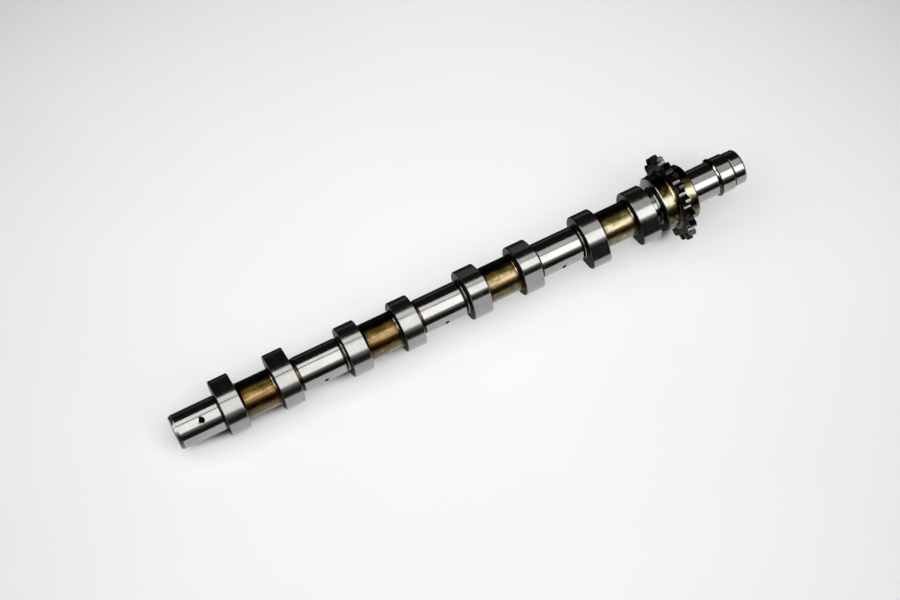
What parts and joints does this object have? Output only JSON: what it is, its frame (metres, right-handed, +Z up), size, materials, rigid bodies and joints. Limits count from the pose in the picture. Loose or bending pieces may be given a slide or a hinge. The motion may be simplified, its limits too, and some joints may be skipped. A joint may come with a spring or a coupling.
{
  "type": "camshaft",
  "caption": "Four-cylinder camshaft with paired lobes, five bearing journals, an integral chain sprocket and a stepped nose, lying on its side.",
  "frame": {"origin": "on the shaft axis, in the middle of the first bearing journal at the plain end", "axes": "+X along the shaft axis from the plain end to the nose end, +Z up as the shaft lies on its side"},
  "size_m": [0.4209, 0.0619, 0.0622],
  "materials": {
    "camshaft": "ground journals and lobes, stained cast sections between",
    "plug": "plain pressed steel"
  },
  "bodies": {
    "root": {"camshaft": "camshaft", "gallery_plug": "plug"}
  },
  "joints": []
}
